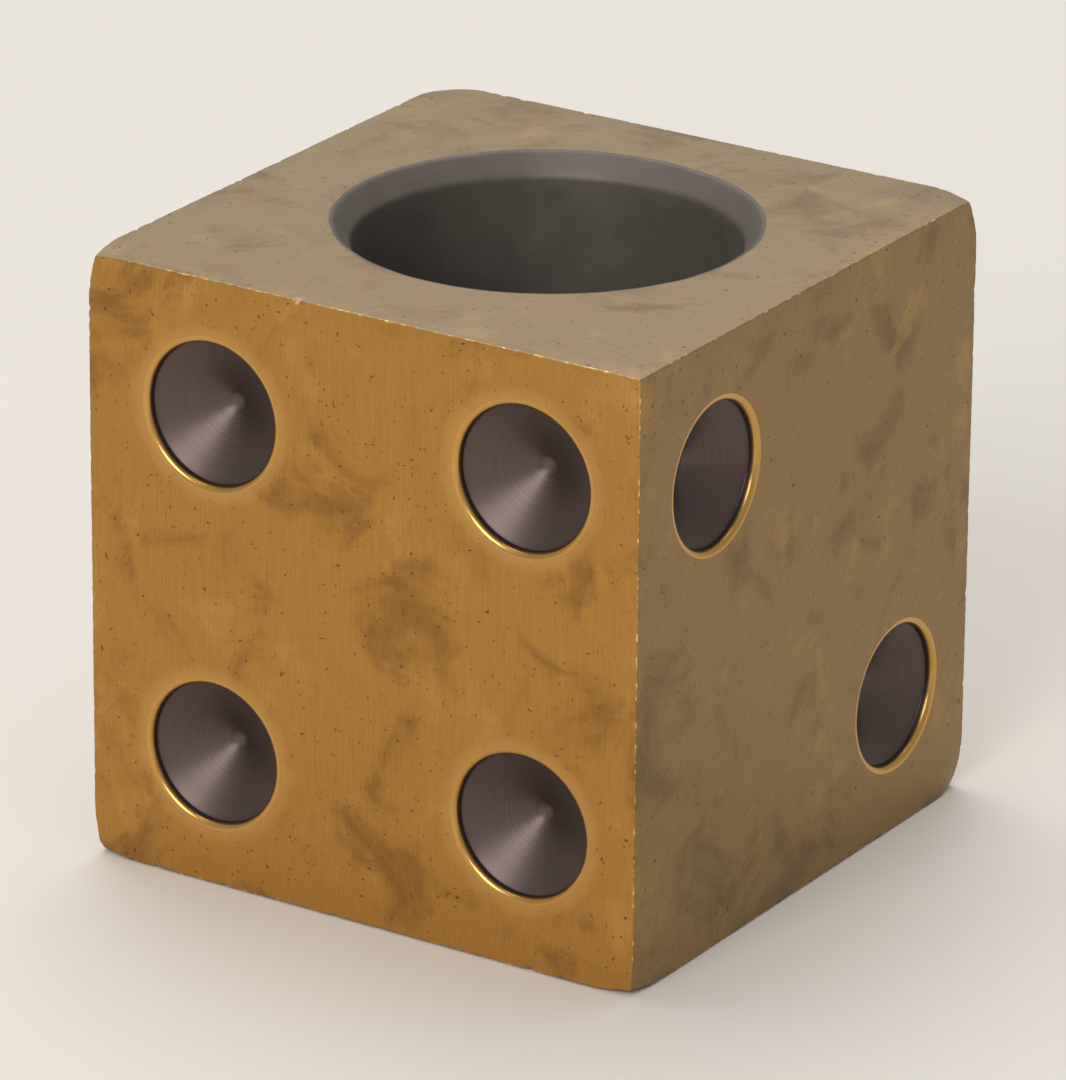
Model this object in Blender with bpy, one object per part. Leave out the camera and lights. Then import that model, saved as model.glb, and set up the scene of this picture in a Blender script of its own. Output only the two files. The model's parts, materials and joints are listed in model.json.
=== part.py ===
"""A die made as a small desk holder: one solid brass block with drilled pips and a bore in its top face.

The block stands on its six, with the origin in the middle of that face and +Z up. The bore takes the
place of the one. The four faces -Y and the two faces +X.
"""

import math

import bmesh
import bpy
from mathutils import Matrix, Vector

INCH = 0.0254

# The block, cut from square bar. Facing it by hand left it a little thinner from front to back.
WIDTH = 1.625 * INCH
DEPTH = WIDTH - 0.0003
HEIGHT = WIDTH
EDGE_BREAK = 0.0001
CORNER_WEAR = 0.0005

# Both drills have the usual 118 degree point.
POINT_ANGLE = math.radians(118)

# A pip is the mark of a 3/8 inch drill, run in just past its full width.
PIP_RADIUS = 0.375 * INCH / 2
PIP_RIM = 0.0003
PIP_WALL = 0.00066
PIP_SIDES = 24

# The bore, with its worn countersink. It stands a little off the middle of the top face.
BORE_RADIUS = 0.01255
BORE_RIM_WIDTH = 0.00115
BORE_RIM_DEPTH = 0.0014
BORE_WALL = 1.0 * INCH
BORE_SIDES = 72
BORE_OFFSET = (0.0003, 0.0007)

# How far a cutter stands out of the face that it cuts.
PROUD = 0.001

# Where the pips stand, across and up from the middle of their face. The four and the two were marked
# out by hand, and the four's right column sits higher than its left one.
PITCH = 0.0115
THREE = [(-PITCH, PITCH), (0, 0), (PITCH, -PITCH)]
FOUR = [(-0.0112, 0.0115), (-0.0112, -0.0116), (0.0121, 0.0122), (0.0121, -0.0110)]
TWO = [(-0.0114, 0.0114), (0.0115, -0.0112)]
FIVE = [(-PITCH, -PITCH), (-PITCH, PITCH), (0, 0), (PITCH, -PITCH), (PITCH, PITCH)]
SIX = [(across, up) for across in (-PITCH, PITCH) for up in (-PITCH, 0, PITCH)]

RIGHT = Vector((1, 0, 0))
BACK = Vector((0, 1, 0))
UP = Vector((0, 0, 1))

# Each drilled face: the directions that run across it and up it, seen from outside, and its pips.
FACES = [
    (RIGHT, UP, FOUR),
    (BACK, UP, TWO),
    (-RIGHT, UP, THREE),
    (-BACK, UP, FIVE),
    (RIGHT, -BACK, SIX),
]


def clear_scene():
    for old in list(bpy.data.objects):
        bpy.data.objects.remove(old, do_unlink=True)


def brass():
    """Old brass, browned by handling."""
    material = bpy.data.materials.new("aged_brass")
    material.use_nodes = True
    shader = material.node_tree.nodes["Principled BSDF"]
    shader.inputs["Base Color"].default_value = (0.42, 0.26, 0.09, 1)
    shader.inputs["Metallic"].default_value = 0.9
    shader.inputs["Roughness"].default_value = 0.45
    return material


def add_object(name, mesh):
    made = bpy.data.objects.new(name, mesh)
    bpy.context.scene.collection.objects.link(made)
    return made


def face_frame(across, up):
    """The placement of a face: X across it, Y up it, Z straight out, from the middle of the face."""
    outward = across.cross(up)
    half = Vector((WIDTH / 2, DEPTH / 2, HEIGHT / 2))
    middle = UP * half.z + Vector(n * h for n, h in zip(outward, half))
    turn = Matrix((across, up, outward)).transposed().to_4x4()
    return Matrix.Translation(middle) @ turn


def drill_profile(radius, rim_width, rim_depth, wall):
    """The outline of a drill that cuts with its point down and leaves a sloping rim at the face."""
    point = wall + radius / math.tan(POINT_ANGLE / 2)
    flare = rim_width * (1 + PROUD / rim_depth)
    return [(0, PROUD), (radius + flare, PROUD), (radius, -rim_depth), (radius, -wall), (0, -point)]


def turned(name, profile, sides):
    """A closed solid of revolution about Z. Its profile starts and ends on the axis."""
    shape = bmesh.new()
    points = [shape.verts.new((radius, 0, height)) for radius, height in profile]
    outline = [shape.edges.new(pair) for pair in zip(points, points[1:])]
    bmesh.ops.spin(
        shape,
        geom=points + outline,
        cent=(0, 0, 0),
        axis=UP,
        angle=2 * math.pi,
        steps=sides,
        use_merge=True,
    )
    bmesh.ops.remove_doubles(shape, verts=shape.verts, dist=1e-6)
    bmesh.ops.recalc_face_normals(shape, faces=shape.faces)
    mesh = bpy.data.meshes.new(name)
    shape.to_mesh(mesh)
    shape.free()
    return mesh


def cutter(name, mesh):
    made = add_object(name, mesh)
    made.hide_render = True
    made.display_type = "WIRE"
    return made


def pip_drills():
    """One cutter that holds a drill for every pip."""
    drill = turned("pip_drill", drill_profile(PIP_RADIUS, PIP_RIM, PIP_RIM, PIP_WALL), PIP_SIDES)
    drills = bmesh.new()
    for across, up, pips in FACES:
        for along, high in pips:
            placed = drill.copy()
            placed.transform(face_frame(across, up) @ Matrix.Translation((along, high, 0)))
            drills.from_mesh(placed)
            bpy.data.meshes.remove(placed)
    mesh = bpy.data.meshes.new("pip_drills")
    drills.to_mesh(mesh)
    drills.free()
    return cutter("pip_drills", mesh)


def bore_drill():
    profile = drill_profile(BORE_RADIUS, BORE_RIM_WIDTH, BORE_RIM_DEPTH, BORE_WALL)
    mesh = turned("bore_drill", profile, BORE_SIDES)
    mesh.transform(face_frame(RIGHT, BACK) @ Matrix.Translation((*BORE_OFFSET, 0)))
    return cutter("bore_drill", mesh)


def block():
    """The plain block, with its corners knocked back and its edges barely broken."""
    shape = bmesh.new()
    bmesh.ops.create_cube(shape, size=1)
    bmesh.ops.scale(shape, vec=(WIDTH, DEPTH, HEIGHT), verts=shape.verts)
    bmesh.ops.translate(shape, vec=(0, 0, HEIGHT / 2), verts=shape.verts)
    mesh = bpy.data.meshes.new("die_block")
    shape.to_mesh(mesh)
    shape.free()
    made = add_object("die_block", mesh)
    for name, affected, width in (
        ("worn corners", "VERTICES", CORNER_WEAR),
        ("broken edges", "EDGES", EDGE_BREAK),
    ):
        bevel = made.modifiers.new(name, "BEVEL")
        bevel.affect = affected
        bevel.width = width
        bevel.segments = 1
        bevel.limit_method = "NONE"
    return made


def cut(target, tool):
    boolean = target.modifiers.new(tool.name, "BOOLEAN")
    boolean.operation = "DIFFERENCE"
    boolean.solver = "EXACT"
    boolean.object = tool


def main():
    clear_scene()
    die = block()
    die.data.materials.append(brass())
    cut(die, pip_drills())
    cut(die, bore_drill())


main()
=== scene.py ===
# %% [markdown]
# # A brass die that holds toothpicks
#
# The object is one solid block of brass. Somebody cut it from square bar, filed its faces by hand, sank
# a drill point for every pip and bored a one inch hole in the top. Seventy years of handling did the rest.
#
# The imported block is the fixed frame of this scene, so the block's size and middle are read from it,
# and the worn mesh is kept within it. The working unit is the millimetre, as on the maker's bench, and
# the mesh is scaled to metres at the end.

# %% Load the frame
import json
import math

import bmesh
import bpy
import numpy as np
from mathutils import Matrix, Vector, kdtree, noise
from mathutils.geometry import delaunay_2d_cdt

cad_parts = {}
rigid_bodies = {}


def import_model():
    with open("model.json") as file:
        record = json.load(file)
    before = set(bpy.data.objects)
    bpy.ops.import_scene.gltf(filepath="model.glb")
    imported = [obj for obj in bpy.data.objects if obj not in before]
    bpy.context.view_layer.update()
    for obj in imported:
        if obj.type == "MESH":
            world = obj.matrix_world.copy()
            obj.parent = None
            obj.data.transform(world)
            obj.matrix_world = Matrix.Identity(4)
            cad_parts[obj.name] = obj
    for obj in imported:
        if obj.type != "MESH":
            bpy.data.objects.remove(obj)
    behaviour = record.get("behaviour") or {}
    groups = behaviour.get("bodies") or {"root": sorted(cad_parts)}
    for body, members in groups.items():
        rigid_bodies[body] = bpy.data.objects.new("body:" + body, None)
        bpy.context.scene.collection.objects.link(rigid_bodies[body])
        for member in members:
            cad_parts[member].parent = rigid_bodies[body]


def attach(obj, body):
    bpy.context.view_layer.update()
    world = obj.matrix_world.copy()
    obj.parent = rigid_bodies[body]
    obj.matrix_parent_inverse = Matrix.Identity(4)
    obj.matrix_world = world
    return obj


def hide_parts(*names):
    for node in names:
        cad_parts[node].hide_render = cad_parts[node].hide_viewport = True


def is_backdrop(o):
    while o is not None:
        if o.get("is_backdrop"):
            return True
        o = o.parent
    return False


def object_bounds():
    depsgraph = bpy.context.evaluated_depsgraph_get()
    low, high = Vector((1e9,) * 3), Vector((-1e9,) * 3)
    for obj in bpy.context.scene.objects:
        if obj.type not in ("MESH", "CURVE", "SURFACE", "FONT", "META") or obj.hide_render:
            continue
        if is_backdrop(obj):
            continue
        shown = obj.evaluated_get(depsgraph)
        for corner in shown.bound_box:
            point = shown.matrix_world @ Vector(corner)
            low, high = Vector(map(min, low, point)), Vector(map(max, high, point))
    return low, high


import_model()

MM = 0.001
cad_low, cad_high = (np.array(corner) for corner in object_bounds())
SIZE = (cad_high - cad_low) / MM
HALF = SIZE / 2
MIDDLE = (cad_low + cad_high) / 2 / MM
print("block, mm:", SIZE.round(3), "middle", MIDDLE.round(3))

# %% [markdown]
# ## Where the drills went in
#
# Each side of the block gets a flat drawing board of its own: a direction across, a direction up, and a
# list of the places where the drill was set down. Opposite sides of a die add up to seven. The four and
# the two were marked out by eye, and their pips stray by half a millimetre. Keeping those errors is what
# makes the block look handmade.

# %% Sides and pips
PITCH = 11.5
X, Y, Z = np.eye(3)
SIDES = {
    "four": (X, Z, [(-11.2, 11.5), (-11.2, -11.6), (12.1, 12.2), (12.1, -11.0)]),
    "two": (Y, Z, [(-11.4, 11.4), (11.5, -11.2)]),
    "three": (-X, Z, [(-PITCH, PITCH), (0, 0), (PITCH, -PITCH)]),
    "five": (-Y, Z, [(i * PITCH, j * PITCH) for i, j in ((-1, -1), (-1, 1), (0, 0), (1, -1), (1, 1))]),
    "six": (X, -Y, [(i * PITCH, j * PITCH) for i in (-1, 1) for j in (-1, 0, 1)]),
    "top": (X, Y, []),
}
BORE_PLACE = (0.3, 0.7)


def board(side):
    """The middle of a side, and its directions across, up and straight out."""
    across, up, _ = SIDES[side]
    out = np.cross(across, up)
    return MIDDLE + out * HALF, across, up, out


def on_board(side, flat, depth=0.0):
    """Turns places drawn on a side, and their depth below it, into places in space."""
    middle, across, up, out = board(side)
    flat = np.atleast_2d(flat)
    depth = np.broadcast_to(depth, len(flat))[:, None]
    return middle + flat[:, :1] * across + flat[:, 1:] * up - depth * out


PIPS = [(side, place) for side in SIDES for place in SIDES[side][2]]
print("pips:", len(PIPS))

# %% [markdown]
# ## The outline of a drilled hole
#
# A twist drill leaves a wall and a cone with an angle of 118 degrees. Half the cone's outline is all
# that is needed, because the hole is that outline turned round its axis. Corners are softened with a
# short curve: the rims of the pips were rubbed round by handling, and the drill's tip is never a true
# point. A Bevel modifier could do this too, but it would treat all corners alike.

# %% Drill outlines
POINT_SLOPE = math.tan(math.radians(59))
PIP_RADIUS, PIP_RIM, PIP_WALL = 4.7625, 0.45, 0.66
PIP_DEPTH = PIP_WALL + PIP_RADIUS / POINT_SLOPE
BORE_RADIUS, BORE_FLOOR = 12.55, 25.4
BORE_MOUTH, BORE_RIM, BORE_SINK = 13.7, 0.25, 1.4
BORE_DEPTH = BORE_FLOOR + BORE_RADIUS / POINT_SLOPE


def softened(corners, reaches, steps=5):
    """An outline whose inner corners are curves that start and end a given reach from each corner."""
    corners = [np.array(corner, float) for corner in corners]
    line = [corners[0]]
    for before, corner, after, reach in zip(corners, corners[1:], corners[2:], reaches):
        start = corner + (before - corner) * reach / np.linalg.norm(before - corner)
        end = corner + (after - corner) * reach / np.linalg.norm(after - corner)
        for t in np.linspace(0, 1, steps + 1):
            line.append((1 - t) ** 2 * start + 2 * t * (1 - t) * corner + t**2 * end)
    return np.array(line + [corners[-1]])


def divided(line, longest):
    """The same outline with its long straight runs divided."""
    points = [line[0]]
    for start, end in zip(line, line[1:]):
        pieces = max(1, math.ceil(np.linalg.norm(end - start) / longest))
        if np.linalg.norm(end - start) > 1e-6:
            points += [start + (end - start) * k / pieces for k in range(1, pieces + 1)]
    return np.array(points)


pip_outline = divided(
    softened(
        [(PIP_RADIUS + PIP_RIM, 0), (PIP_RADIUS, 0), (PIP_RADIUS, PIP_WALL), (0, PIP_DEPTH)],
        [PIP_RIM, 0.06],
    ),
    0.9,
)
bore_outline = divided(
    softened(
        [
            (BORE_MOUTH + BORE_RIM, 0),
            (BORE_MOUTH, 0),
            (BORE_RADIUS, BORE_SINK),
            (BORE_RADIUS, BORE_FLOOR),
            (0, BORE_DEPTH),
        ],
        [BORE_RIM, 0.3, 0.2],
    ),
    0.9,
)
print("outline points:", len(pip_outline), "in a pip,", len(bore_outline), "in the bore")

# %% [markdown]
# ## Skins and holes
#
# Fine wear needs a fine mesh, but only where the wear is. Each flat skin is therefore a set of points that
# crowd towards the edges of the block and the rims of the holes, joined by a Delaunay triangulation. A
# remesh of the whole block at that fineness would take millions of faces. The holes are rings of faces
# that start on the same points as the skin, so that all of it joins into one closed body.

# %% Flat skins
EDGE_STEP = 0.18
EDGE_ROWS = [(0.04, 1), (0.09, 1), (0.16, 1), (0.27, 1), (0.45, 2), (0.75, 2), (1.2, 3), (1.8, 4)]
FIELD_STEP = 0.9
PIP_SIDES, BORE_SIDES = 72, 180
HALO_ROWS = (0.25, 0.55, 0.95, 1.5)


def frame_points(wide, high, step):
    """Even points along the sides of a rectangle, anticlockwise."""
    wide_count, high_count = round(2 * wide / step), round(2 * high / step)
    w = np.linspace(-wide, wide, wide_count + 1)
    h = np.linspace(-high, high, high_count + 1)
    low = [(x, -high) for x in w[:-1]] + [(wide, y) for y in h[:-1]]
    return np.array(low + [(x, high) for x in w[:0:-1]] + [(-wide, y) for y in h[:0:-1]])


def circle_points(place, radius, count):
    turn = np.arange(count) * 2 * math.pi / count
    return np.array(place) + radius * np.stack([np.cos(turn), np.sin(turn)], 1)


def holes_in(side):
    if side == "top":
        return [(BORE_PLACE, BORE_MOUTH + BORE_RIM, BORE_SIDES)]
    return [(place, PIP_RADIUS + PIP_RIM, PIP_SIDES) for place in SIDES[side][2]]


def skin(side):
    """The flat skin of one side: its points in space and its triangles."""
    _, across, up, _ = board(side)
    wide, high = abs(across) @ HALF, abs(up) @ HALF
    loops = [frame_points(wide, high, EDGE_STEP)]
    loops += [circle_points(*hole) for hole in holes_in(side)]
    links, start = [], 0
    for loop in loops:
        links += [(start + k, start + (k + 1) % len(loop)) for k in range(len(loop))]
        start += len(loop)
    free = [frame_points(wide - row, high - row, EDGE_STEP * coarse) for row, coarse in EDGE_ROWS]
    last = EDGE_ROWS[-1][0] + FIELD_STEP
    columns = np.linspace(-wide + last, wide - last, round(2 * (wide - last) / FIELD_STEP) + 1)
    rows = np.linspace(-high + last, high - last, round(2 * (high - last) / FIELD_STEP) + 1)
    free.append(np.array([(x, y) for x in columns for y in rows]))
    free = np.concatenate(free)
    for place, radius, count in holes_in(side):
        free = free[np.hypot(*(free - place).T) > radius + HALO_ROWS[-1] + 0.3]
    rings = [
        circle_points(place, radius + row, count)
        for place, radius, count in holes_in(side)
        for row in HALO_ROWS
    ]
    flat = np.concatenate(loops + [free] + rings)
    found = delaunay_2d_cdt([Vector(point) for point in flat], links, [], 0, 1e-6)
    points = np.array([tuple(point) for point in found[0]])
    corners = np.array([face[:3] for face in found[2]])
    middles = points[corners].mean(axis=1)
    for place, radius, count in holes_in(side):
        inside = np.hypot(*(middles - place).T) < radius * math.cos(math.pi / count)
        corners, middles = corners[~inside], middles[~inside]
    return on_board(side, points), corners


def turned_hole(side, place, outline, count):
    """A hole's rings of points, from its rim down to the drill point, and its faces."""
    rings = [on_board(side, circle_points(place, radius, count), depth) for radius, depth in outline[:-1]]
    tip = on_board(side, place, outline[-1][1])
    faces = []
    for ring in range(len(rings) - 1):
        for k in range(count):
            here, beside = ring * count + k, ring * count + (k + 1) % count
            faces.append((here, beside, beside + count, here + count))
    last = (len(rings) - 1) * count
    faces += [(last + k, last + (k + 1) % count, last + count) for k in range(count)]
    return np.concatenate(rings + [tip]), faces


# %% Join them into one body
FINISHES = [*SIDES, "pip", "bore"]


def joined():
    """The whole surface as one closed mesh, still with perfect edges. Faces know their finish."""
    shape = bmesh.new()
    pieces = [(side, *skin(side)) for side in SIDES]
    pieces += [("pip", *turned_hole(side, place, pip_outline, PIP_SIDES)) for side, place in PIPS]
    pieces.append(("bore", *turned_hole("top", BORE_PLACE, bore_outline, BORE_SIDES)))
    for finish, points, faces in pieces:
        made = [shape.verts.new(point) for point in points]
        for face in faces:
            shape.faces.new([made[k] for k in face]).material_index = FINISHES.index(finish)
    bmesh.ops.remove_doubles(shape, verts=shape.verts, dist=1e-4)
    loose = [vert for vert in shape.verts if not vert.link_faces]
    bmesh.ops.delete(shape, geom=loose, context="VERTS")
    open_edges = sum(not edge.is_manifold for edge in shape.edges)
    print("body:", len(shape.verts), "points,", len(shape.faces), "faces,", open_edges, "open edges")
    mesh = bpy.data.meshes.new("die")
    shape.to_mesh(mesh)
    shape.free()
    return mesh


die_mesh = joined()
plain = np.empty(len(die_mesh.vertices) * 3)
die_mesh.vertices.foreach_get("co", plain)
plain = plain.reshape(-1, 3)

# %% [markdown]
# ## Which hole is nearest
#
# The finishes need to know how far a point is from the axis of its pip: tool marks are rings round it,
# and a lighter ring surrounds every rim, partly polished film and partly a painted highlight. Each point
# therefore stores its place on the board of the nearest pip, in millimetres, with its depth. The three
# numbers change evenly over a flat face or a cone, so a shader can work out exact rings from them.

# %% Store the nearest pip
FAR = 9.0


def nearest_pip(points):
    """For each point, its place across and up from the nearest pip's axis, and its depth below the face."""
    found = np.zeros((len(points), 3))
    closest = np.full(len(points), PIP_RADIUS + PIP_RIM + FAR)
    for side, place in PIPS:
        _, across, up, out = board(side)
        away = points - on_board(side, place)
        local = np.stack([away @ across, away @ up, -away @ out], 1)
        radius = np.hypot(local[:, 0], local[:, 1])
        near = (radius < closest) & (local[:, 2] > -0.01) & (local[:, 2] < PIP_DEPTH + 0.1)
        found[near], closest[near] = local[near], radius[near]
    return found, closest - PIP_RADIUS - PIP_RIM


drill, from_rim = nearest_pip(plain)
stored = die_mesh.attributes.new("drill", "FLOAT_VECTOR", "POINT")
stored.data.foreach_set("vector", drill.astype(np.float32).ravel())
stored = die_mesh.attributes.new("from_rim", "FLOAT", "POINT")
stored.data.foreach_set("value", from_rim.astype(np.float32))
print("points inside a pip:", int((from_rim < 0).sum()))

# %% [markdown]
# ## Seventy years of wear
#
# The perfect block now gets its history, as small moves of its points. Every move goes inwards, so the
# block never outgrows its frame. The file rolled over a little near each edge, the edges were broken by
# use, the corners took most of the knocks, and the skin sinks slightly towards each drilled rim. A
# Displace modifier with a texture could roughen the block, but it knows nothing of edges and corners.

# %% Helpers for wear
def rough(points, size, octaves=3, shift=0.0):
    """Fractal noise from about -1 to 1, with features of the given size."""
    return np.array([noise.fractal(Vector(p) / size + Vector([shift] * 3), 1.0, 2.0, octaves) for p in points])


def fade(distance, reach):
    """1 at no distance, falling smoothly to 0 at the reach."""
    t = np.clip(1 - distance / reach, 0, 1)
    return t * t * (3 - 2 * t)


def rooms(points):
    """How far each point is from the nearer of the two sides along X, Y and Z."""
    return HALF - abs(points - MIDDLE)


# %% Rolled-off sides and dished rims
ROLL, ROLL_REACH = 0.05, 1.6
CROWN, CROWN_REACH = 0.05, 9.0
DISH, DISH_REACH = 0.06, 1.5


def rolled(points):
    room = rooms(points)
    moved = points.copy()
    for axis in range(3):
        others = np.delete(room, axis, axis=1).min(axis=1)
        sink = ROLL * fade(others, ROLL_REACH) + CROWN * fade(others, CROWN_REACH)
        moved[:, axis] -= np.sign(points - MIDDLE)[:, axis] * sink * np.clip(1 - room[:, axis] / 3, 0, 1)
    return moved


def dished(points):
    """Sinks the skin towards the rim of each pip, and the pip with it."""
    moved = points.copy()
    for side, place in PIPS:
        _, across, up, out = board(side)
        away = plain - on_board(side, place)
        radius, depth = np.hypot(away @ across, away @ up), -away @ out
        near = (radius < PIP_RADIUS + PIP_RIM + DISH_REACH) & (depth > -0.01) & (depth < PIP_DEPTH + 0.1)
        sink = DISH * fade(np.maximum(radius[near] - PIP_RADIUS - PIP_RIM, 0), DISH_REACH)
        moved[near] -= np.outer(sink, out)
    return moved


# %% Broken edges
BROKEN, BROKEN_LEAST = 0.06, 0.02
EDGE_BAND = 1.0


def broken(points):
    """Rounds the edges of the block by an uneven radius."""
    room = np.sort(rooms(plain), axis=1)
    near = (room[:, 0] < 1e-3) & (room[:, 1] < EDGE_BAND)
    at = plain[near]
    radius = BROKEN + 0.04 * rough(at, 0.55, 3) + 0.03 * rough(at, 5.0, 2, 7.0)
    radius = np.maximum(radius, BROKEN_LEAST)[:, None]
    place = at - MIDDLE
    core = np.clip(place, radius - HALF, HALF - radius)
    lean = place - core
    rounded = core + lean * radius / np.linalg.norm(lean, axis=1, keepdims=True)
    moved = points.copy()
    moved[near] += rounded - place
    return moved


# %% Knocks
KNOCKS_ON_EACH_EDGE = 16
rng = np.random.default_rng(13)


def edges_of_block():
    """The start, end and inward direction of each edge of the block."""
    for axis in range(3):
        for i in (-1, 1):
            for j in (-1, 1):
                signs = np.insert(np.array([i, j], float), axis, 0)
                run = np.zeros(3)
                run[axis] = HALF[axis]
                at = MIDDLE + signs * HALF
                yield at - run, at + run, -signs / math.sqrt(2)


def knocks():
    """Where the edges were knocked, how deep, how wide and which way."""
    found = []
    for start, end, inward in edges_of_block():
        for _ in range(KNOCKS_ON_EACH_EDGE):
            depth = 0.02 + 0.07 * rng.random() ** 3
            width = 0.2 + 0.4 * rng.random() ** 2
            found.append((start + (end - start) * rng.random(), depth, width, inward))
    return found


NAMED_KNOCKS = [
    (MIDDLE + (-4.5, -HALF[1], HALF[2]), 0.2, 0.45, -np.array([0, -1, 1]) / math.sqrt(2)),
    (MIDDLE + (HALF[0], -HALF[1], 8.5), 0.12, 0.6, -np.array([1, -1, 0]) / math.sqrt(2)),
    (MIDDLE + (HALF[0], -HALF[1], -1.0), 0.16, 0.9, -np.array([1, -1, 0]) / math.sqrt(2)),
]


def knocked(points):
    moved = points.copy()
    for at, depth, width, inward in knocks() + NAMED_KNOCKS:
        distance = np.linalg.norm(plain - at, axis=1)
        near = distance < width
        moved[near] += np.outer(depth * fade(distance[near], width), inward)
    return moved


# %% Blunted corners
CORNER_REACH = 3.4
CORNERS = [
    ((-1, -1, 1), 0.55),
    ((1, -1, 1), 0.1),
    ((1, 1, 1), 0.65),
    ((-1, 1, 1), 0.6),
    ((-1, -1, -1), 0.45),
    ((1, -1, -1), 0.55),
    ((1, 1, -1), 0.7),
    ((-1, 1, -1), 0.6),
]


def blunted(points):
    moved = points.copy()
    for signs, amount in CORNERS:
        corner = MIDDLE + np.array(signs) * HALF
        distance = np.linalg.norm(plain - corner, axis=1)
        near = distance < CORNER_REACH
        pull = amount * (1 - distance[near] / CORNER_REACH) ** 1.6
        pull *= 1 + 0.12 * rough(plain[near], 1.4, 2, 3.0)
        moved[near] -= np.outer(pull, np.array(signs) / math.sqrt(3))
    return moved


# %% Uneven bore
def corroded(points):
    """Leaves the wall and mouth of the bore faintly uneven, as damp things left them."""
    away = plain - on_board("top", BORE_PLACE)
    radius = np.hypot(away[:, 0], away[:, 1])
    inside = (radius < BORE_MOUTH + BORE_RIM + 0.01) & (away[:, 2] < 0.01) & (radius > 1)
    inside &= away[:, 2] > -BORE_DEPTH - 0.1
    at = plain[inside]
    grow = 0.035 * rough(at, 2.2, 3, 11.0) + 0.03 * rough(at, 6.0, 2, 5.0)
    mouth = fade(-away[inside][:, 2], 1.6)
    moved = points.copy()
    outward = away[inside] * (1, 1, 0) / radius[inside][:, None]
    moved[inside] += outward * (grow * (0.4 + mouth))[:, None]
    return moved


# %% Wear the block
worn = blunted(knocked(broken(dished(rolled(corroded(plain))))))
low, high = MIDDLE - HALF, MIDDLE + HALF
print("deepest wear, mm:", round(float(np.linalg.norm(worn - plain, axis=1).max()), 2))
print("outside the block by at most, mm:", float(np.maximum(low - worn, worn - high).max()))
worn = np.clip(worn, low, high)
die_mesh.vertices.foreach_set("co", (worn * MM).ravel())
die_mesh.shade_smooth()
die_mesh.set_sharp_from_angle(angle=math.radians(50))
die_mesh.update()
die = bpy.data.objects.new("brass_die", die_mesh)
bpy.context.scene.collection.objects.link(die)
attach(die, "root")
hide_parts("die_block")

# %% [markdown]
# ## Sums with sockets
#
# Brass this old is many thin layers, and most of them start or stop where a sum says so. A small class
# wraps a socket, so that a sum written in Python adds its Math nodes, and one method adds any other node.

# %% A socket that can be used in sums
class Wire:
    """An output socket. Sums on it add Math nodes to its tree."""

    def __init__(self, socket):
        self.socket = socket

    def node(self, kind, settings, sockets, output=0):
        """Adds a node: its settings first, then the value of or the link to each of its sockets."""
        tree = self.socket.id_data
        made = tree.nodes.new("ShaderNode" + kind)
        for name, value in settings.items():
            setattr(made, name, value)
        for name, value in sockets.items():
            if isinstance(value, Wire):
                tree.links.new(value.socket, made.inputs[name])
            else:
                made.inputs[name].default_value = value
        return Wire(made.outputs[output])

    def math(self, operation, *values):
        return self.node("Math", {"operation": operation}, dict(enumerate(values)))

    def __add__(self, other):
        return self.math("ADD", self, other)

    def __sub__(self, other):
        return self.math("SUBTRACT", self, other)

    def __rsub__(self, other):
        return self.math("SUBTRACT", other, self)

    def __mul__(self, other):
        return self.math("MULTIPLY", self, other)

    def __pow__(self, other):
        return self.math("POWER", self, other)

    __radd__ = __add__
    __rmul__ = __mul__


def least(first, second):
    return first.math("MINIMUM", first, second)


def most(first, second):
    return first.math("MAXIMUM", first, second)


def step(value, start, end):
    """0 before the start and 1 past the end, smooth between. It falls where the end comes first."""
    limits = {"Value": value, "From Min": start, "From Max": end}
    return value.node("MapRange", {"interpolation_type": "SMOOTHSTEP"}, limits)


def band(value, middle, width, soft):
    """1 within a width of the middle, and 0 past that by the soft margin."""
    return step((value - middle).math("ABSOLUTE", value - middle), width + soft, width)


# %% Patterns, with sizes in millimetres
def clouds(place, size, detail=2.0, rough=0.5, warp=0.0):
    sockets = {"Vector": place, "Scale": 1 / size, "Detail": detail, "Roughness": rough, "Distortion": warp}
    return place.node("TexNoise", {}, sockets)


def turned(place, axis, degrees, stretch):
    """The place turned about an axis and then divided by a length along each direction."""
    turn = {"Vector": place, "Angle": math.radians(degrees)}
    around = place.node("VectorRotate", {"rotation_type": axis + "_AXIS"}, turn)
    sizes = [1 / length for length in stretch]
    return place.node("VectorMath", {"operation": "MULTIPLY"}, {0: around, 1: sizes})


def dashes(place, seed=0.0):
    """Scattered short strokes, one in each cell of a turned and stretched place: how near, and how strong."""
    moved = place.node("VectorMath", {"operation": "ADD"}, {0: place, 1: [seed] * 3})
    near = place.node("TexVoronoi", {}, {"Vector": moved, "Scale": 1.0})
    colour = Wire(near.socket.node.outputs["Color"])
    strength = colour.node("SeparateColor", {}, {0: colour})
    return near, strength


def srgb(red, green, blue):
    """A colour given in screen numbers, as the shader's linear numbers."""
    levels = [value / 255 for value in (red, green, blue)]
    return [v / 12.92 if v < 0.04 else ((v + 0.055) / 1.055) ** 2.4 for v in levels] + [1.0]
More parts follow.
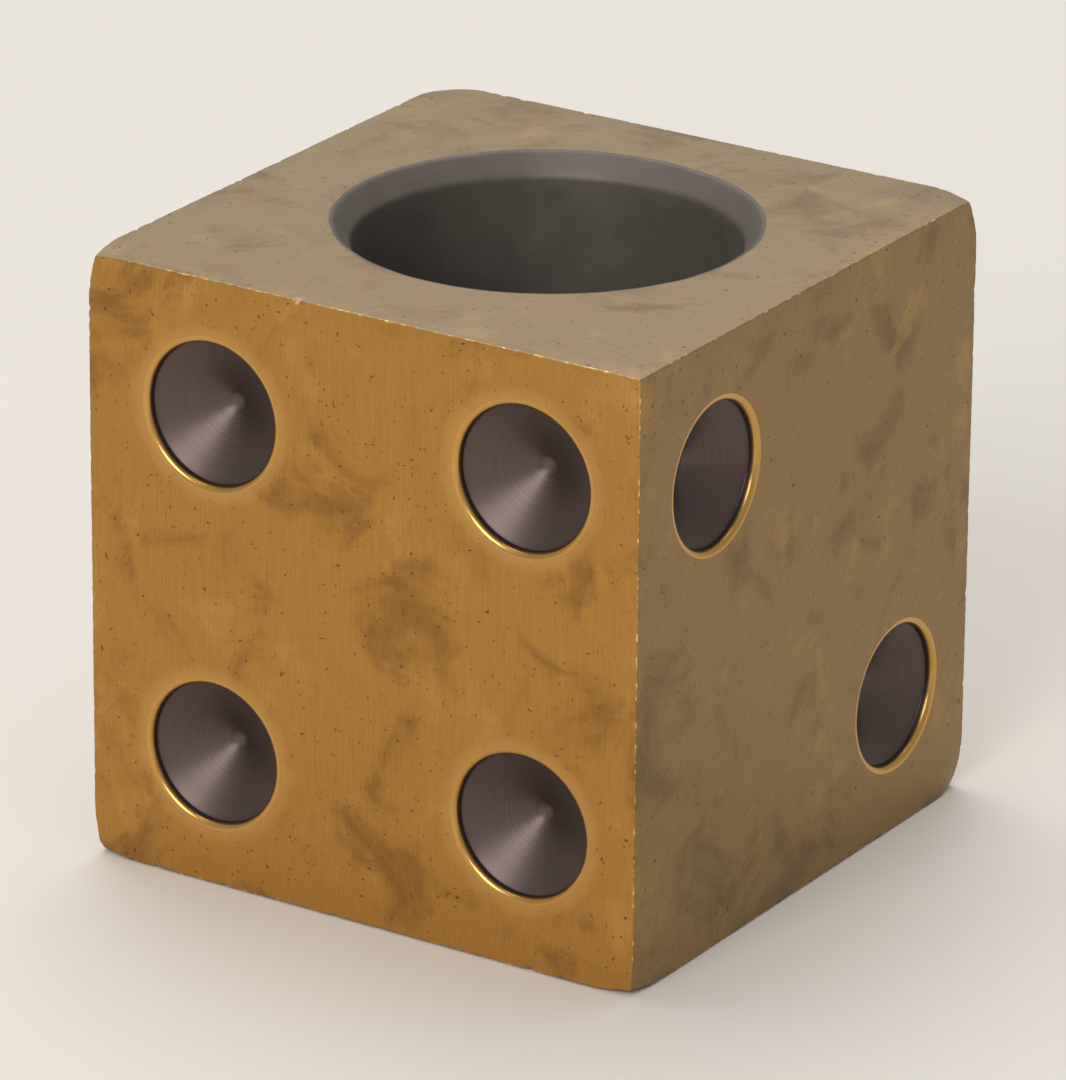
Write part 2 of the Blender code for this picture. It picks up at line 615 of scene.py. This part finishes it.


# %% [markdown]
# ## Building up a finish
#
# A finish starts as metal and takes one layer after another: grain, tarnish, dirt, and last the places
# where the metal was rubbed bare. Each layer is a mask with a colour, a roughness and a share of metal,
# and some also add height for the Bump node.

# %% A finish in layers
class Finish:
    """A material being built up from the metal outwards."""

    def __init__(self, name, colour, roughness, metallic):
        self.material = bpy.data.materials.new(name)
        self.material.use_nodes = True
        tree = self.material.node_tree
        self.shader = tree.nodes["Principled BSDF"]
        where = Wire(tree.nodes.new("ShaderNodeTexCoord").outputs["Object"])
        self.place = where.node("VectorMath", {"operation": "SCALE"}, {0: where, "Scale": 1 / MM})
        apart = self.place.node("SeparateXYZ", {}, {0: self.place})
        self.x, self.y, self.z = (Wire(socket) for socket in apart.socket.node.outputs)
        self.colour, self.roughness, self.metallic = colour, roughness, metallic
        self.height = 0.0

    def lay(self, mask, colour=None, roughness=None, metallic=None):
        """Covers the finish with a layer where the mask is 1."""
        if colour is not None:
            self.colour = mask.node(
                "Mix", {"data_type": "RGBA"}, {0: mask, 6: self.colour, 7: colour}, output=2
            )
        if roughness is not None:
            self.roughness = self.roughness + mask * (roughness - self.roughness)
        if metallic is not None:
            self.metallic = self.metallic + mask * (metallic - self.metallic)

    def shade(self, amount):
        """Multiplies the colour by a number that varies over the surface."""
        grey = amount.node("CombineColor", {}, {0: amount, 1: amount, 2: amount})
        sockets = {0: 1.0, 6: self.colour, 7: grey}
        self.colour = amount.node("Mix", {"data_type": "RGBA", "blend_type": "MULTIPLY"}, sockets, output=2)

    def raise_by(self, height):
        """Adds height, in millimetres."""
        self.height = height + self.height

    def done(self):
        sockets = {"Height": self.height * MM, "Strength": 1.0, "Distance": 1.0}
        normal = self.place.node("Bump", {}, sockets)
        results = {
            "Base Color": self.colour,
            "Roughness": self.roughness,
            "Metallic": self.metallic,
            "Normal": normal,
        }
        for name, value in results.items():
            if isinstance(value, Wire):
                self.material.node_tree.links.new(value.socket, self.shader.inputs[name])
            else:
                self.shader.inputs[name].default_value = value
        die_mesh.materials.append(self.material)
        print(self.material.name, len(self.material.node_tree.nodes), "nodes")


def edge_distance(finish):
    """How far a place on a flat side is from the nearest edge of the block."""
    x = HALF[0] - finish.x.math("ABSOLUTE", finish.x)
    y = HALF[1] - finish.y.math("ABSOLUTE", finish.y)
    height = finish.z - MIDDLE[2]
    z = HALF[2] - height.math("ABSOLUTE", height)
    return most(least(x, y), least(most(x, y), z))


def pip_place(finish):
    """Across, up and depth from the axis of the nearest pip, and the distance from that axis."""
    stored = finish.place.node("Attribute", {"attribute_name": "drill"}, {}, output=1)
    apart = stored.node("SeparateXYZ", {}, {0: stored})
    across, up, depth = (Wire(socket) for socket in apart.socket.node.outputs)
    return across, up, depth, (across * across + up * up) ** 0.5


# %% [markdown]
# ## Brass skins
#
# Old brass on a flat side is a golden brown film with clouds of darker film in it. Under that runs the
# grain of the last file or emery stroke. Dirt sits in pits. Round each pip the film is lighter in a ring:
# partly a thinner, polished film, and partly a painted highlight for the light that the slightly dished
# skin there reflects. The same steps serve every side, with different tones.

# %% The layers that all sides share
BARE = srgb(236, 200, 128)
DIRT = srgb(70, 52, 34)


def brass_side(name, tones, grain_axis, grain_degrees, grain_stretch, roughness=0.5, metallic=0.8):
    """The skin of one side, from three tones: the film's own, its darker clouds and its lighter ones."""
    film, dark, light = tones
    side = Finish(name, film, roughness, metallic)
    place = side.place
    side.lay(step(clouds(place, 7.0, 5.0, 0.6, 0.6), 0.5, 0.68), dark)
    side.lay(step(clouds(place, 4.5, 5.0, 0.62, 0.3), 0.53, 0.75) * 0.7, light)
    grain = clouds(turned(place, grain_axis, grain_degrees, grain_stretch), 1.0, 3.0, 0.6)
    side.shade(0.78 + grain * 0.44)
    side.raise_by(grain * 0.006)
    specks = clouds(place, 0.35, 2.0, 0.6)
    side.lay(step(specks, 0.66, 0.74) * 0.75, DIRT, 0.7)
    return side


def rub_edges(side, width=0.14):
    """Bares the metal along the edges of the block, in an uneven line."""
    distance = edge_distance(side) + (clouds(side.place, 0.5, 3.0, 0.6) - 0.5) * 0.5
    side.lay(step(distance, width, width * 0.4), BARE, 0.3, 1.0)


def polish_and_highlight_ring(side, colour, strength=0.6):
    """Lightens the film in a ring round each pip: partly a polished, thinner film, partly a painted highlight
    for the light the dished skin reflects.
    """
    beyond = side.place.node("Attribute", {"attribute_name": "from_rim"}, {}, output=2)
    beyond = beyond + (clouds(side.place, 1.2, 2.0) - 0.5) * 0.8
    # Lighter brass round the rim: partly polished film, partly a painted highlight.
    side.lay(step(beyond, 1.1, 0.1) * strength, colour)


FOUR_TONES = (srgb(174, 128, 62), srgb(146, 104, 50), srgb(190, 146, 78))
TWO_TONES = (srgb(150, 122, 80), srgb(128, 104, 68), srgb(176, 140, 84))
TOP_TONES = (srgb(160, 138, 108), srgb(140, 116, 88), srgb(178, 150, 110))

# %% The four
four = brass_side("four_skin", FOUR_TONES, "Y", 0, (0.09, 0.09, 2.6))
# A lighter ring round each pip: partly polish, partly a painted highlight.
polish_and_highlight_ring(four, srgb(196, 150, 84))
rub_edges(four)
four.done()

# %% The two
two = brass_side("two_skin", TWO_TONES, "X", 35, (0.12, 0.12, 2.2))
# A fainter lighter ring round each pip: partly polish, partly a painted highlight.
polish_and_highlight_ring(two, srgb(160, 124, 74), 0.4)
rub_edges(two)
two.done()

# %% The three, five and six
for name in ("three", "five", "six"):
    plain_side = brass_side(name + "_skin", FOUR_TONES, "Y", 0, (0.1, 0.1, 2.4))
    # A lighter ring round each pip: partly polish, partly a painted highlight.
    polish_and_highlight_ring(plain_side, srgb(196, 150, 84))
    rub_edges(plain_side)
    plain_side.done()

# %% The top
top = brass_side("top_skin", TOP_TONES, "Z", 35, (0.1, 2.0, 0.1))
rub_edges(top)
top.done()

# %% The pips
pip = Finish("pip_patina", srgb(92, 78, 74), 0.42, 0.85)
across, up, depth, radius = pip_place(pip)
rings = clouds(radius.node("CombineXYZ", {}, {0: radius, 1: depth}), 0.16, 3.0, 0.7)
pip.shade(0.7 + rings * 0.6)
pip.raise_by(rings * 0.01)
pip.lay(step(depth, PIP_RIM * 0.95, PIP_RIM * 0.5), srgb(196, 152, 84), 0.28, 1.0)
pip.done()

# %% The bore
bore = Finish("bore_patina", srgb(110, 102, 94), 0.6, 0.6)
bore.shade(0.7 + clouds(bore.place, 3.0, 5.0, 0.65) * 0.6)
bore.done()

# %% [markdown]
# ## Camera, floor and light

# %% Camera
AZIMUTH, ELEVATION, ROLL = (math.radians(angle) for angle in (32.66, 21.57, 0.49))
DISTANCE = 526.6
AIM = MIDDLE + (0.09, -0.39, -0.96)
back = np.array(
    [math.sin(AZIMUTH) * math.cos(ELEVATION), -math.cos(AZIMUTH) * math.cos(ELEVATION), math.sin(ELEVATION)]
)
camera = bpy.data.objects.new("camera", bpy.data.cameras.new("camera"))
bpy.context.scene.collection.objects.link(camera)
camera.data.lens = 272.1
camera.data.sensor_width = 36.0
camera.data.clip_end = 20
camera.location = (AIM + back * DISTANCE) * MM
look = (-Vector(back)).to_track_quat("-Z", "Y").to_matrix().to_4x4()
camera.rotation_euler = (look @ Matrix.Rotation(ROLL, 4, "Z")).to_euler()
bpy.context.scene.camera = camera

# %% Floor
FLOOR_SIZE = 6.0
floor_mesh = bpy.data.meshes.new("floor")
corner = FLOOR_SIZE / 2
floor_mesh.from_pydata(
    [(-corner, -corner, 0), (corner, -corner, 0), (corner, corner, 0), (-corner, corner, 0)], [], [(0, 1, 2, 3)]
)
floor = bpy.data.objects.new("floor", floor_mesh)
bpy.context.scene.collection.objects.link(floor)
floor.location.z = -0.00002
pale = bpy.data.materials.new("pale_floor")
pale.use_nodes = True
pale_shader = pale.node_tree.nodes["Principled BSDF"]
pale_shader.inputs["Base Color"].default_value = srgb(226, 221, 213)
pale_shader.inputs["Roughness"].default_value = 0.6
floor_mesh.materials.append(pale)
floor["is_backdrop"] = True


# %% Lights
def softbox(name, direction, distance, size, watts, colour=(1.0, 1.0, 1.0)):
    """A square lamp that faces the die from a direction given as X, Y and Z."""
    lamp = bpy.data.lights.new(name, "AREA")
    lamp.size, lamp.energy, lamp.color = size, watts, colour
    placed = bpy.data.objects.new(name, lamp)
    bpy.context.scene.collection.objects.link(placed)
    towards = Vector(direction).normalized()
    placed.location = Vector(MIDDLE * MM) + towards * distance
    placed.rotation_euler = towards.to_track_quat("Z", "Y").to_euler()


softbox("key", (0.1, -0.87, 0.55), 0.9, 0.45, 4.0)
softbox("overhead", (-0.3, 0.3, 1.0), 1.0, 0.8, 5.0)
world = bpy.data.worlds.new("studio")
world.use_nodes = True
world.node_tree.nodes["Background"].inputs["Color"].default_value = (1.0, 0.98, 0.95, 1.0)
world.node_tree.nodes["Background"].inputs["Strength"].default_value = 0.5
bpy.context.scene.world = world
bpy.context.scene.view_settings.view_transform = "Standard"
